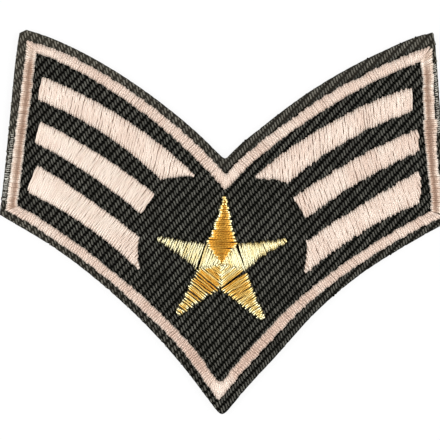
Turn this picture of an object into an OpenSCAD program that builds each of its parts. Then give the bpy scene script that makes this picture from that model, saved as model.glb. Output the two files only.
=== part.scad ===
// Iron-on sleeve patch, lying flat with its face up: a chevron cut from dark twill,
// edged with a satin-stitched border, with three satin bars on each wing and a
// satin star between them, all on a film of heat-set glue. Millimetres, +Z up,
// the star's top arm towards +Y, the origin under the middle of the patch.

/* [Cut outline] */
// Height at which the two top edges meet in the notch
notch_height = 12.4; // [12:0.1:12.8]
// Height of a top edge 40 mm from the centre line
wing_top = 38.2; // [37.9:0.1:38.6]
// Radius of the bulge of a top edge
top_radius = 110; // [105:1:118]
// Height at which the two bottom edges would meet in a sharp tip
tip_height = -39.9; // [-40.3:0.1:-39.5]
// Height of a bottom edge 40 mm from the centre line
wing_bottom = -1.7; // [-2:0.1:-1.4]
// Radius of the hollow of a bottom edge
bottom_radius = 119; // [114:0.5:125]
// How far the notch is rounded, as the distance it keeps from the centre line
notch_blunt = 0.5; // [0.3:0.1:0.8]
// How far the tip is rounded, as the distance it keeps from the centre line
tip_blunt = 1; // [0.6:0.1:1.4]
// Distance of a side edge from the centre line, at the height of the origin
side_reach = 44.9; // [44.8:0.1:45.5]
// Lean of the side edges towards the centre line, in degrees
side_lean = 4.9; // [4:0.1:5.2]
// Size of the bevel on the two top outer corners
corner_bevel = 1; // [0.7:0.1:1.4]

/* [Layers] */
// Thickness of the twill
cloth_thickness = 1; // [0.8:0.1:1.5]
// Thickness of the film of glue
film_thickness = 0.2; // [0.1:0.05:0.4]
// How far the film stays inside the cut edge
film_inset = 0.3; // [0.1:0.1:0.6]
// Height of the satin stitching at its crown
satin_crown = 0.7; // [0.4:0.05:1]
// Height of the satin stitching at its edges
satin_edge = 0.2; // [0.1:0.05:0.3]
// Gap left between neighbouring pieces
piece_gap = 0.05; // [0.02:0.01:0.1]

/* [Border] */
// Height at which the outer edges of the two top runs meet below the notch
run_notch_height = 9.5; // [9.2:0.1:9.8]
// Height of the outer edge of a top run 40 mm from the centre line
run_wing_top = 35.8; // [35.5:0.1:36.1]
// Radius of the bulge of a top run's outer edge
run_top_radius = 103; // [98:1:110]
// Width of the top runs
top_width = 1.95; // [1.6:0.01:2.2]
// Cloth left bare outside the side runs, at the height of the origin
side_margin = 1.1; // [0.95:0.05:1.35]
// Width of the side runs
side_width = 2.25; // [2:0.05:2.5]
// Height at which the outer edges of the two bottom runs would meet in a sharp tip
run_tip_height = -35.7; // [-36:0.1:-35.4]
// Height of the outer edge of a bottom run 40 mm from the centre line
run_wing_bottom = -0.1; // [-0.4:0.1:0.2]
// Radius of the hollow of a bottom run's outer edge
run_bottom_radius = 119.5; // [114:0.5:125]
// Width of the bottom runs
bottom_width = 1.73; // [1.5:0.01:2]

/* [Placing of the stitching] */
// Clockwise turn of the upper runs, side runs, bars and star in the cut outline, in degrees
stitch_turn = 0.9; // [0:0.1:1.2]
// How far the bars and the star sit to the left of the middle
upper_shift = 0.25; // [0:0.05:0.4]
// How far the top and side runs sit to the left of the middle
run_shift = 0.05; // [0:0.05:0.2]
// How far the bottom runs sit to the left of the middle
lower_shift = 0.5; // [0:0.05:0.6]

/* [Bars] */
// Radius of the round lobe that ends the middle bars and leaves the ground bare round the star
lobe_radius = 13.1; // [12.7:0.1:13.5]
// Radius of the lobe that ends the upper bars
upper_lobe_radius = 18.4; // [18:0.1:18.8]
// Radius of the lobe that ends the lower bars
lower_lobe_radius = 20; // [19.6:0.1:20.4]

/* [Star] */
// Distance of the star's inner corners from its centre
star_waist = 5; // [4.4:0.1:5.6]
// Half the width of an arm's blunt tip
star_tip = 0.5; // [0.3:0.05:0.7]
// Slit between neighbouring arms
star_slit = 0.12; // [0.06:0.02:0.3]

/* [Hidden] */

twill_colour = "#33342e";
cream_colour = "#e3c9b6";
gold_colour = "#d9a23c";
film_colour = "#cfccc4";
LEFT = -1;
RIGHT = 1;

// Where the second height of every curve is taken
WING = 40;
// Steps along an edge of the cut outline and how much they crowd towards the centre line
CUT_STEPS = 22;
CUT_CROWDING = 1.3;
// Steps along a run of border, along a bar's slanting ends and its middle, and along an arm
// of the star from the waist to the tip
RUN_STEPS = 14;
SEAM_STEPS = 3;
BAR_STEPS = 6;
ARM_STEPS = 7;
// The side runs lean this much more than the cut
RUN_LEAN_MORE = 0.5;
// How far the pointed ends of the bottom runs keep from the centre line, outer and inner edge
RUN_BLUNT = [0.3, 0.6];
// Length cut off the sharp ends of a bar, measured across its stitches
BAR_TIP = 0.15;
// Where the stitches of an arm start, as a share of the way from the star's centre to the waist
ARM_START = 0.08;

cloth_base = film_thickness + piece_gap;
satin_base = cloth_base + cloth_thickness + piece_gap;
upper_origin = [-upper_shift, 0];
run_origin = [-run_shift, 0];
lower_origin = [-lower_shift, 0];

// The bars of a wing. Columns: upper edge at the centre line, 40 mm out and its radius,
// lower edge at the centre line, 40 mm out and its radius, lean of the stitches in degrees,
// how far the bar's outer end stays inside the side run's inner edge on the left and on the
// right wing, before the shift of the bars
BARS = [
    [3.1, 29, 91, -7.5, 24.15, 73.5, 10, 1.8, 1.8],
    [-7.3, 20.3, 121, -15.7, 15.7, 106, 22, 2.2, 1.3],
    [-17.2, 11.8, 237, -32.2, 5.2, 80, 33, 2.5, 1.7]
];
// The round lobes that the bars' inner ends follow, for each row above. Columns: x and y of
// the middle, radius
LOBES = [
    [7, -9.5, upper_lobe_radius],
    [4.3, -3.9, lobe_radius],
    [-2.6, -4, lower_lobe_radius]
];

// The arms of the star. Columns: direction of the tip in degrees, reach of the tip,
// directions of the inner corners on the clockwise and on the other side
STAR_CENTRE = [-0.1, -8.4];
ARMS = [
    [89.5, 13.4, 53, 129],
    [160, 13.8, 129, 195],
    [21.5, 13.7, -16, 53],
    [230.5, 13.4, 195, 269],
    [308.5, 13.9, 269, 344]
];

// Curves are circles [centre x, centre y, radius], drawn for the right wing.
// This one is found from its heights on the centre line and at the wing.
function curve(at_centre, at_wing, radius) =
    let (
        rise = at_wing - at_centre,
        chord = norm([WING, rise]),
        drop = sqrt(radius * radius - chord * chord / 4)
    )
    [
        WING / 2 + drop * rise / chord,
        (at_centre + at_wing) / 2 - drop * WING / chord,
        radius
    ];
function grown(circle, by) = [circle[0], circle[1], circle[2] + by];
function centre(circle) = [circle[0], circle[1]];
function height(circle, x) =
    circle[1] + sqrt(circle[2] * circle[2] - (x - circle[0]) * (x - circle[0]));

// Distance from a point along a unit direction to the near (-1) or far (1) side of a circle,
// or undef where the line misses the circle
function reach(circle, from, along, side) =
    let (
        offset = from - centre(circle),
        half = offset * along,
        root = half * half - offset * offset + circle[2] * circle[2]
    )
    root < 0 ? undef : side * sqrt(root) - half;

// The point where two circles cross, on the left (-1) or right (1) of the way from one to the other
function crossing(one, other, side) =
    let (
        span = centre(other) - centre(one),
        apart = norm(span),
        along = (apart * apart + one[2] * one[2] - other[2] * other[2]) / (2 * apart),
        across = sqrt(one[2] * one[2] - along * along),
        unit = span / apart
    )
    centre(one) + along * unit + side * across * [unit.y, -unit.x];

// A sharp corner on the centre line is made blunt by keeping this far from the line
function blunt(x, by) = sqrt(x * x + by * by);

// The side edges are straight lines [distance at the height of the origin, lean in degrees]
function side_point(line, y) = [line[0] - y * tan(line[1]), y];
function side_corner(line, circle) =
    let (along = [-sin(line[1]), cos(line[1])], from = [line[0], 0])
    from + along * reach(circle, from, along, 1);

function turned(p, angle) = [
    p.x * cos(angle) - p.y * sin(angle),
    p.x * sin(angle) + p.y * cos(angle)
];
function place_upper(p, wing) = turned([wing * p.x, p.y], -stitch_turn) + upper_origin;
function place_run(p, wing) = turned([wing * p.x, p.y], -stitch_turn) + run_origin;
function place_lower(p, wing) = [wing * p.x, p.y] + lower_origin;

cut_top = curve(notch_height, wing_top, top_radius);
cut_bottom = curve(tip_height, wing_bottom, bottom_radius);
cut_side = [side_reach, side_lean];

run_top_outer = curve(run_notch_height, run_wing_top, run_top_radius);
run_top_inner = grown(run_top_outer, -top_width);
run_side_outer = [side_reach - side_margin, side_lean + RUN_LEAN_MORE];
run_side_inner = [run_side_outer[0] - side_width, run_side_outer[1]];
run_bottom_outer = curve(run_tip_height, run_wing_bottom, run_bottom_radius);
run_bottom_inner = grown(run_bottom_outer, bottom_width);

// The cut outline, or one that stays inside it by an inset
function half_outline(inset) =
    let (
        top = grown(cut_top, -inset),
        bottom = grown(cut_bottom, inset),
        side = [cut_side[0] - inset, cut_side[1]],
        top_corner = side_corner(side, top),
        top_reach = top_corner.x - corner_bevel,
        bottom_reach = side_corner(side, bottom).x
    )
    concat(
        [
            for (i = [0 : CUT_STEPS])
                let (x = top_reach * pow(i / CUT_STEPS, CUT_CROWDING))
                [x, height(top, blunt(x, notch_blunt))]
        ],
        [side_point(side, top_corner.y - corner_bevel)],
        [
            for (i = [CUT_STEPS : -1 : 0])
                let (x = bottom_reach * pow(i / CUT_STEPS, CUT_CROWDING))
                [x, height(bottom, blunt(x, tip_blunt))]
        ]
    );

module outline(inset) {
    right = half_outline(inset);
    last = len(right) - 1;
    left = [for (i = [last - 1 : -1 : 1]) [-right[i].x, right[i].y]];
    polygon(concat(right, left));
}

module adhesive_film() {
    color(film_colour)
        linear_extrude(height = film_thickness)
            outline(film_inset);
}

module ground() {
    color(twill_colour)
        translate([0, 0, cloth_base])
            linear_extrude(height = cloth_thickness)
                outline(0);
}

// A column of satin stitches between two edges, each a list of as many points. Its
// section is a low dome with steep sides, and both ends come down to the cloth. A narrow
// column is lower, because its crown rises by no more than a third of its width.
ACROSS = [-1, -0.9, -0.62, 0, 0.62, 0.9, 1];
DOME_POWER = 2.6;
function dome(v) = sqrt(1 - pow(abs(v), DOME_POWER));

module satin(edge_a, edge_b) {
    last = len(edge_a) - 1;
    wide = len(ACROSS);
    plan = [
        for (i = [0 : last], v = ACROSS)
            edge_a[i] * (1 - v) / 2 + edge_b[i] * (1 + v) / 2
    ];
    rise = [
        for (i = [0 : last], v = ACROSS)
            let (
                width = norm(edge_b[i] - edge_a[i]),
                crown = min(satin_crown - satin_edge, width / 3),
                end = i == 0 || i == last ? 0 : 1
            )
            satin_edge + crown * dome(v) * end
    ];
    count = len(plan);
    top = [for (k = [0 : count - 1]) [plan[k].x, plan[k].y, rise[k]]];
    bottom = [for (p = plan) [p.x, p.y, 0]];
    corners = [
        for (i = [0 : last - 1], j = [0 : wide - 2])
            [i * wide + j, i * wide + j + 1, (i + 1) * wide + j + 1, (i + 1) * wide + j]
    ];
    upper_faces = [
        for (c = corners, half = [0, 1])
            half == 0 ? [c[0], c[1], c[2]] : [c[0], c[2], c[3]]
    ];
    lower_faces = [for (f = upper_faces) [f[2] + count, f[1] + count, f[0] + count]];
    rim = concat(
        [for (j = [0 : wide - 2]) j],
        [for (i = [0 : last - 1]) i * wide + wide - 1],
        [for (j = [wide - 1 : -1 : 1]) last * wide + j],
        [for (i = [last : -1 : 1]) i * wide]
    );
    wall_faces = [
        for (k = [0 : len(rim) - 1], half = [0, 1])
            let (a = rim[k], b = rim[(k + 1) % len(rim)])
            half == 0 ? [a, a + count, b + count] : [a, b + count, b]
    ];
    translate([0, 0, satin_base])
        polyhedron(
            points = concat(top, bottom),
            faces = concat(upper_faces, lower_faces, wall_faces)
        );
}

// Places along a run of border, close together at its ends, half a gap short of both
function spread(length) = [
    for (i = [0 : RUN_STEPS])
        piece_gap / 2 + (length - piece_gap) * (1 - cos(180 * i / RUN_STEPS)) / 2
];

module satin_on(wing, inner, outer) {
    if (wing == RIGHT) {
        satin(inner, outer);
    } else {
        satin(outer, inner);
    }
}

top_outer_reach = side_corner(run_side_outer, run_top_outer).x;
top_inner_reach = side_corner(run_side_inner, run_top_inner).x;

module border_top(wing) {
    color(cream_colour)
        satin_on(
            wing,
            [
                for (x = spread(top_inner_reach))
                    place_run([x, height(run_top_inner, x)], wing)
            ],
            [
                for (x = spread(top_outer_reach))
                    place_run([x, height(run_top_outer, x)], wing)
            ]
        );
}

// The corner where a side run's line comes down on a bottom run, in the patch's frame. The
// line is taken from two of its points above the corner.
function low_corner(line, circle, wing) =
    let (
        high = place_run(side_point(line, WING / 2), wing),
        low = place_run(side_point(line, WING / 4), wing),
        along = (low - high) / norm(low - high),
        hub = place_lower(centre(circle), wing)
    )
    high + along * reach([hub.x, hub.y, circle[2]], high, along, -1);

function between(start, end) =
    let (length = norm(end - start))
    [for (d = spread(length)) start + (end - start) * d / length];

module border_side(wing) {
    outer_high = place_run(side_corner(run_side_outer, run_top_outer), wing);
    inner_high = place_run(side_corner(run_side_inner, run_top_inner), wing);
    outer_low = low_corner(run_side_outer, run_bottom_outer, wing);
    inner_low = low_corner(run_side_inner, run_bottom_inner, wing);
    color(cream_colour)
        satin_on(
            wing,
            between(inner_low, inner_high),
            between(outer_low, outer_high)
        );
}

module border_bottom(wing) {
    outer_corner = low_corner(run_side_outer, run_bottom_outer, wing);
    inner_corner = low_corner(run_side_inner, run_bottom_inner, wing);
    outer_reach = abs(outer_corner.x - lower_origin.x);
    inner_reach = abs(inner_corner.x - lower_origin.x);
    color(cream_colour)
        satin_on(
            wing,
            [
                for (x = spread(outer_reach))
                    place_lower([x, height(run_bottom_outer, blunt(x, RUN_BLUNT[0]))], wing)
            ],
            [
                for (x = spread(inner_reach))
                    place_lower([x, height(run_bottom_inner, blunt(x, RUN_BLUNT[1]))], wing)
            ]
        );
}

// A bar's stitches lie side by side along straight lines that lean towards the centre
// line. Each ends at the bar's edges, at the bar's lobe, and at the straight outer end.
// A stitch is found by where its line crosses the origin's height.
function foot(p, lean) = p.x + p.y * tan(lean);

function stitch(upper, lower, lobe, end, lean, x) =
    let (
        from = [x, 0],
        along = [-sin(lean), cos(lean)],
        lobe_in = reach(lobe, from, along, -1),
        lobe_out = reach(lobe, from, along, 1),
        past_end = (x - end[0]) / (sin(lean) - cos(lean) * tan(end[1])),
        edge_high = reach(upper, from, along, 1),
        edge_low = max(reach(lower, from, along, 1), past_end),
        high = lobe_out != undef && lobe_out > edge_high ? min(lobe_in, edge_high) : edge_high,
        low = lobe_in != undef && lobe_in < edge_low ? max(lobe_out, edge_low) : edge_low
    )
    [from + along * low, from + along * high];

// Even steps from one value to another, the last one left out
function steps(start, end, count) =
    [for (i = [0 : count - 1]) start + (end - start) * i / count];

// Every bar has four corners, and a stitch runs through each of them
module bar(level, wing) {
    row = BARS[level];
    lobe = LOBES[level];
    upper = curve(row[0], row[1], row[2]);
    lower = curve(row[3], row[4], row[5]);
    lean = row[6];
    end_gap = wing == LEFT ? row[7] : row[8];
    end = [run_side_inner[0] - end_gap, run_side_inner[1]];
    inner_high = foot(crossing(upper, lobe, 1), lean);
    inner_low = foot(crossing(lower, lobe, 1), lean);
    outer_low = foot(side_corner(end, lower), lean);
    outer_high = foot(side_corner(end, upper), lean);
    feet = concat(
        steps(min(inner_high, inner_low) + BAR_TIP, max(inner_high, inner_low), SEAM_STEPS),
        steps(max(inner_high, inner_low), outer_low, BAR_STEPS),
        steps(outer_low, outer_high - BAR_TIP, SEAM_STEPS),
        [outer_high - BAR_TIP]
    );
    stitches = [for (x = feet) stitch(upper, lower, lobe, end, lean, x)];
    color(cream_colour)
        satin_on(
            wing,
            [for (s = stitches) place_upper(s[0], wing)],
            [for (s = stitches) place_upper(s[1], wing)]
        );
}

// An arm of the star is a kite of stitches laid across it, from the star's centre to the
// tip. Its widest stitch joins the two inner corners of the star beside it.
function heading(angle) = [cos(angle), sin(angle)];

module star_arm(row) {
    tip = heading(row[0]) * row[1];
    tip_across = [-tip.y, tip.x] / norm(tip) * star_tip;
    corners = [heading(row[2]) * star_waist, heading(row[3]) * star_waist];
    tips = [tip - tip_across, tip + tip_across];
    edges = [
        for (k = [0, 1])
            concat(
                steps(corners[k] * ARM_START, corners[k], SEAM_STEPS),
                steps(corners[k], tips[k], ARM_STEPS),
                [tips[k]]
            )
    ];
    last = len(edges[0]) - 1;
    chords = [for (i = [0 : last]) edges[1][i] - edges[0][i]];
    pulls = [for (chord = chords) chord / norm(chord) * star_slit / 2];
    color(gold_colour)
        satin(
            [for (i = [0 : last]) place_upper(STAR_CENTRE + edges[1][i] - pulls[i], RIGHT)],
            [for (i = [0 : last]) place_upper(STAR_CENTRE + edges[0][i] + pulls[i], RIGHT)]
        );
}

adhesive_film();
ground();
border_top(LEFT);  // border_top_left
border_top(RIGHT);  // border_top_right
border_side(LEFT);  // border_side_left
border_side(RIGHT);  // border_side_right
border_bottom(LEFT);  // border_bottom_left
border_bottom(RIGHT);  // border_bottom_right
bar(0, LEFT);  // bar_upper_left
bar(1, LEFT);  // bar_middle_left
bar(2, LEFT);  // bar_lower_left
bar(0, RIGHT);  // bar_upper_right
bar(1, RIGHT);  // bar_middle_right
bar(2, RIGHT);  // bar_lower_right
star_arm(ARMS[0]);  // star_arm_top
star_arm(ARMS[1]);  // star_arm_left
star_arm(ARMS[2]);  // star_arm_right
star_arm(ARMS[3]);  // star_arm_lower_left
star_arm(ARMS[4]);  // star_arm_lower_right
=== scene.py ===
import math
import random

import bpy
import numpy as np
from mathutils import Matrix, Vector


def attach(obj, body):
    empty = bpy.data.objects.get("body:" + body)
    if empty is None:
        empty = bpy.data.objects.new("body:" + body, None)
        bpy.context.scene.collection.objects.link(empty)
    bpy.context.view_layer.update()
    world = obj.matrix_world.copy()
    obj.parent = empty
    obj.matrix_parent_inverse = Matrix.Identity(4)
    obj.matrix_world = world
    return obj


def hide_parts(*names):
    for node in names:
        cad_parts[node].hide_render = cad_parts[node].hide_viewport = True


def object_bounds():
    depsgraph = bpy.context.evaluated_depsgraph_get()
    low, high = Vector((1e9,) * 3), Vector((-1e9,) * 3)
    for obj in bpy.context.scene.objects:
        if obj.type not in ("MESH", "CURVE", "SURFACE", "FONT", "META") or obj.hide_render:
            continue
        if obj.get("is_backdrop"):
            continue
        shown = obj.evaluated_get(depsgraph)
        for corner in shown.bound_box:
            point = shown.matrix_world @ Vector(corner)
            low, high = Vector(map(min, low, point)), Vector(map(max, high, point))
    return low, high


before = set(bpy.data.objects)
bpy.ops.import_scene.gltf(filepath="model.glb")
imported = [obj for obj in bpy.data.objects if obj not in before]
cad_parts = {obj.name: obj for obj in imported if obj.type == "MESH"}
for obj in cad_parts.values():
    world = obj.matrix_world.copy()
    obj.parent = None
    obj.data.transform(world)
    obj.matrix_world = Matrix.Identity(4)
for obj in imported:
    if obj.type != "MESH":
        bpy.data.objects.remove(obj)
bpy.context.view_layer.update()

# The camera stands far above the patch and looks straight down through a long lens, as the
# photograph was taken. Its picture is a square 88 mm wide on the cloth, turned 0.7 degrees.
MM = 0.001
PICTURE_WIDTH = 88 * MM
PICTURE_MIDDLE = (-0.88 * MM, 0.34 * MM)
CAMERA_HEIGHT = 700 * MM
CAMERA_TURN = math.radians(0.7)
CLOTH_TOP = 1.25

camera_data = bpy.data.cameras.new("camera")
camera_data.sensor_width = 36
camera_data.lens = camera_data.sensor_width * CAMERA_HEIGHT / PICTURE_WIDTH
camera_data.clip_start = 0.01
camera_data.clip_end = 10
camera = bpy.data.objects.new("camera", camera_data)
camera.location = (*PICTURE_MIDDLE, CAMERA_HEIGHT + CLOTH_TOP * MM)
camera.rotation_euler = (0, 0, CAMERA_TURN)
scene = bpy.context.scene
scene.collection.objects.link(camera)
scene.camera = camera
scene.view_settings.view_transform = "Standard"

# The patch lies on a plain white table, bright enough to show no shadow. From below the table
# lets the eye through, so that the back of the patch can be looked at.
FLOOR_SIZE = 4.0
FLOOR_DROP = 0.3 * MM
FLOOR_WHITE = 0.12
FLOOR_GLOW = 0.88


def new_material(name, settings):
    """A material with plain settings on its shader, and its node tree and shader."""
    material = bpy.data.materials.new(name)
    material.use_nodes = True
    shader = material.node_tree.nodes["Principled BSDF"]
    for socket, value in settings.items():
        shader.inputs[socket].default_value = value
    return material, material.node_tree, shader


floor_mesh = bpy.data.meshes.new("table_top")
half = FLOOR_SIZE / 2
floor_mesh.from_pydata(
    [(-half, -half, 0), (half, -half, 0), (half, half, 0), (-half, half, 0)],
    [],
    [(0, 1, 2, 3)],
)
floor = bpy.data.objects.new("table_top", floor_mesh)
floor.location.z = -FLOOR_DROP
scene.collection.objects.link(floor)
white_table, table_tree, table_shader = new_material("white_table", {
    "Base Color": (FLOOR_WHITE, FLOOR_WHITE, FLOOR_WHITE, 1),
    "Roughness": 0.9,
    "Specular IOR Level": 0.1,
    "Emission Color": (1, 1, 1, 1),
    "Emission Strength": FLOOR_GLOW,
})
seen_through = table_tree.nodes.new("ShaderNodeBsdfTransparent")
side_seen = table_tree.nodes.new("ShaderNodeNewGeometry")
table_mix = table_tree.nodes.new("ShaderNodeMixShader")
table_surface = table_tree.nodes["Material Output"].inputs["Surface"]
table_tree.links.new(side_seen.outputs["Backfacing"], table_mix.inputs["Fac"])
table_tree.links.new(table_shader.outputs["BSDF"], table_mix.inputs[1])
table_tree.links.new(seen_through.outputs["BSDF"], table_mix.inputs[2])
table_tree.links.new(table_mix.outputs["Shader"], table_surface)
floor_mesh.materials.append(white_table)
floor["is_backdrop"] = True

# Two tall softboxes stand to the left and right of the table, so threads that run away from the
# viewer catch the light and threads that run across stay dark. A weak sky fills the rest.
SOFTBOXES = [
    # x and z of the middle in metres, watts
    (-0.52, 0.48, 4.65),
    (0.52, 0.48, 4.65),
]
SOFTBOX_SIZE = (0.5, 0.9)
SKY_OVERHEAD = 0.06
SKY_LOW = 0.38
SKY_FADE = (0.35, 0.9)


def ranged(tree, value, span, result):
    """A value mapped from one span to another and held inside it."""
    node = tree.nodes.new("ShaderNodeMapRange")
    tree.links.new(value, node.inputs["Value"])
    for socket, number in zip(("From Min", "From Max", "To Min", "To Max"), (*span, *result)):
        node.inputs[socket].default_value = number
    return node.outputs["Result"]


for x, z, watts in SOFTBOXES:
    light_data = bpy.data.lights.new("softbox", "AREA")
    light_data.shape = "RECTANGLE"
    light_data.size = SOFTBOX_SIZE[0]
    light_data.size_y = SOFTBOX_SIZE[1]
    light_data.energy = watts
    softbox = bpy.data.objects.new("softbox", light_data)
    softbox.location = (x, 0, z)
    softbox.rotation_euler = (0, math.atan2(x, z), 0)
    scene.collection.objects.link(softbox)
sky = bpy.data.worlds.new("studio")
sky.use_nodes = True
sky_tree = sky.node_tree
sky_tree.nodes["Background"].inputs["Color"].default_value = (1, 1, 1, 1)
direction = sky_tree.nodes.new("ShaderNodeTexCoord")
upward = sky_tree.nodes.new("ShaderNodeSeparateXYZ")
sky_tree.links.new(direction.outputs["Generated"], upward.inputs["Vector"])
sky_glow = ranged(sky_tree, upward.outputs["Z"], SKY_FADE, (SKY_LOW, SKY_OVERHEAD))
sky_tree.links.new(sky_glow, sky_tree.nodes["Background"].inputs["Strength"])
scene.world = sky

# The ground is coarse twill in dark polyester, cut to the chevron with a hot knife that seals
# its edge. Near the cut a grey haze is added to the yarns' colour, most of all at the top left.
CLOTH_BOTTOM = 0.2
CLOTH_FACE = 1.0
NOTCH_HEIGHT = 12.4
WING_TOP = 38.2
TOP_RADIUS = 110.0
TIP_HEIGHT = -39.9
WING_BOTTOM = -1.7
BOTTOM_RADIUS = 119.0
SIDE_REACH = 44.9
SIDE_LEAN = 4.9
WING = 40.0
RIGHT = 1
LEFT = -1
CORNER_BEVEL = {LEFT: 1.2, RIGHT: 0.35}


def curve(at_centre, at_wing, radius):
    """The circle [x, y, radius] of a wing's edge, from its heights on the centre line and 40 mm out."""
    rise = at_wing - at_centre
    chord = math.hypot(WING, rise)
    drop = math.sqrt(radius * radius - chord * chord / 4)
    return (WING / 2 + drop * rise / chord, (at_centre + at_wing) / 2 - drop * WING / chord, radius)


def grown(circle, by):
    return (circle[0], circle[1], circle[2] + by)


def height(circle, x):
    return circle[1] + np.sqrt(circle[2] ** 2 - (x - circle[0]) ** 2)


def side_corner(line, circle):
    """Where a side edge [reach at the origin's height, lean in degrees] meets a curve."""
    lean = math.radians(line[1])
    along = np.array([-math.sin(lean), math.cos(lean)])
    offset = np.array([line[0] - circle[0], -circle[1]])
    part = offset @ along
    distance = math.sqrt(part * part - offset @ offset + circle[2] ** 2) - part
    return np.array([line[0], 0]) + along * distance


def side_point(line, y):
    return np.array([line[0] - y * math.tan(math.radians(line[1])), y])


CUT_TOP = curve(NOTCH_HEIGHT, WING_TOP, TOP_RADIUS)
CUT_BOTTOM = curve(TIP_HEIGHT, WING_BOTTOM, BOTTOM_RADIUS)
CUT_SIDE = (SIDE_REACH, SIDE_LEAN)
CUT_STEPS = 110
SIDE_STEPS = 70
NOTCH_BLUNT = 0.3
TIP_BLUNT = 0.95
CUT_STRAYS = [
    # x and y on the cut outline, how far the knife strayed outwards there, over what length
    (-41.0, 38.2, -0.25, 6.0),
    (-40.5, 38.2, -0.30, 2.5),
    (-29.0, 33.0, 0.30, 13.0),
    (-2.5, 13.2, -0.20, 2.5),
    (4.5, 14.0, 0.28, 3.5),
    (12.0, 17.0, -0.20, 6.0),
    (36.5, 36.6, 0.15, 3.5),
    (41.5, 38.4, -0.35, 2.0),
    (-41.5, -1.0, 0.25, 6.0),
    (-24.0, -16.0, 0.18, 25.0),
    (13.0, -28.6, 0.95, 9.0),
    (36.5, -5.2, 0.30, 7.0),
    (43.0, 1.0, 0.40, 7.0),
]


def half_outline(inset, bevel):
    """One half of the cut outline, drawn as the right one from the notch round to the tip."""
    top = grown(CUT_TOP, -inset)
    bottom = grown(CUT_BOTTOM, inset)
    side = (CUT_SIDE[0] - inset, CUT_SIDE[1])
    corner = side_corner(side, top)
    low = side_corner(side, bottom)
    x_top = np.linspace(0, corner[0] - bevel, CUT_STEPS + 1)
    x_low = np.linspace(low[0], 0, CUT_STEPS + 1)
    high = side_point(side, corner[1] - bevel)
    down = [high + (low - high) * k / SIDE_STEPS for k in range(SIDE_STEPS)]
    return np.concatenate([
        np.column_stack([x_top, height(top, np.hypot(x_top, NOTCH_BLUNT))]),
        np.array(down),
        np.column_stack([x_low, height(bottom, np.hypot(x_low, TIP_BLUNT))]),
    ])


def outline(inset):
    """The whole cut outline, kept inside by an inset."""
    right = half_outline(inset, CORNER_BEVEL[RIGHT])
    left = half_outline(inset, CORNER_BEVEL[LEFT])[-2:0:-1] * [-1, 1]
    return np.concatenate([right, left])


cut_inward = outline(1) - outline(0)
cut_inward = cut_inward / np.linalg.norm(cut_inward, axis=1)[:, None]
knife_stray = sum(
    by * np.exp(-((outline(0) - [x, y]) ** 2).sum(1) / length**2)
    for x, y, by, length in CUT_STRAYS
)


def cut_ring(inset):
    """The outline kept inside by an inset, with the knife's strays."""
    return outline(inset) - cut_inward * knife_stray[:, None]


def new_piece(name, points, faces):
    """A smooth-shaded object from points in millimetres."""
    mesh = bpy.data.meshes.new(name)
    mesh.from_pydata((np.asarray(points, float) * MM).tolist(), [], faces)
    mesh.validate()
    mesh.polygons.foreach_set("use_smooth", [True] * len(mesh.polygons))
    piece = bpy.data.objects.new(name, mesh)
    scene.collection.objects.link(piece)
    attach(piece, "root")
    return piece


def ripple(places, waves, seed):
    """A gentle random wave along a line, from sines of the given lengths, between -1 and 1."""
    draw = random.Random(seed)
    total = np.zeros(len(places))
    for length in waves:
        total += np.sin(places * (2 * math.pi / length) + draw.uniform(0, 2 * math.pi))
    return total / len(waves)


def closed_rings(first, rings, count):
    """Faces of a closed body whose points lie ring after ring: its walls and both ends."""
    faces = []
    for r in range(rings - 1):
        for k in range(count):
            here = first + r * count + k
            beside = first + r * count + (k + 1) % count
            faces.append((here, here + count, beside + count, beside))
    last = first + (rings - 1) * count
    faces.append(tuple(range(first, first + count)))
    faces.append(tuple(reversed(range(last, last + count))))
    return faces


HAZE_FULL = 1.9
HAZE_GONE = 2.7
HAZE_IN_MIDDLE = 0.34
HAZE_PER_MM_UP = 0.010
HAZE_PER_MM_RIGHT = -0.0045
HAZE_IN_GROOVES = 0.35
PLAIN_TONE = 0.5
EDGE_PROFILE = [
    # inset from the cut, height above the table
    (0.30, CLOTH_BOTTOM),
    (0.05, CLOTH_BOTTOM + 0.03),
    (0.00, 0.45),
    (0.00, 0.90),
    (0.04, 0.98),
    (0.12, 1.02),
    (0.30, CLOTH_FACE),
    (HAZE_FULL, CLOTH_FACE),
    (HAZE_GONE, CLOTH_FACE),
]
EDGE_WAVES = (1.1, 1.9, 3.1, 5.3)
EDGE_WANDER = 0.16
WAVE_GONE = 0.36


def haze_at(x, y, inset):
    """How much grey haze the cloth gets: by its place on the patch and its distance from the cut."""
    strength = np.clip(HAZE_IN_MIDDLE + HAZE_PER_MM_UP * y + HAZE_PER_MM_RIGHT * x, 0, 1)
    return strength * np.clip((HAZE_GONE - inset) / (HAZE_GONE - HAZE_FULL), 0, 1)


def grain_marks(piece, marks):
    """Stores for each point how far along its float it is, the float's tone and how much grey haze it
    gets.
    """
    layer = piece.data.attributes.new("grain", "FLOAT_VECTOR", "POINT")
    layer.data.foreach_set("vector", np.array(marks, np.float32).ravel())


cut_line = cut_ring(0)
count = len(cut_line)
steps_round = np.linalg.norm(np.roll(cut_line, -1, 0) - cut_line, axis=1)
run_round = np.concatenate([[0], np.cumsum(steps_round)[:-1]])
cut_wave = ripple(run_round, EDGE_WAVES, seed=3) ** 2 * EDGE_WANDER
cloth_points = []
cloth_marks = []
for inset, z in EDGE_PROFILE:
    fade_in = max(0.0, 1 - inset / WAVE_GONE)
    ring = cut_ring(inset) + cut_inward * (cut_wave * fade_in)[:, None]
    cloth_points.append(np.column_stack([ring, np.full(count, z)]))
    haze_amount = haze_at(ring[:, 0], ring[:, 1], inset) * HAZE_IN_GROOVES
    cloth_marks.append(np.column_stack([np.zeros(count), np.full(count, PLAIN_TONE), haze_amount]))
cloth_faces = closed_rings(0, len(EDGE_PROFILE), count)
twill_cloth = new_piece("twill_cloth", np.concatenate(cloth_points), cloth_faces)
grain_marks(twill_cloth, np.concatenate(cloth_marks))
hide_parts("ground")


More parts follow.
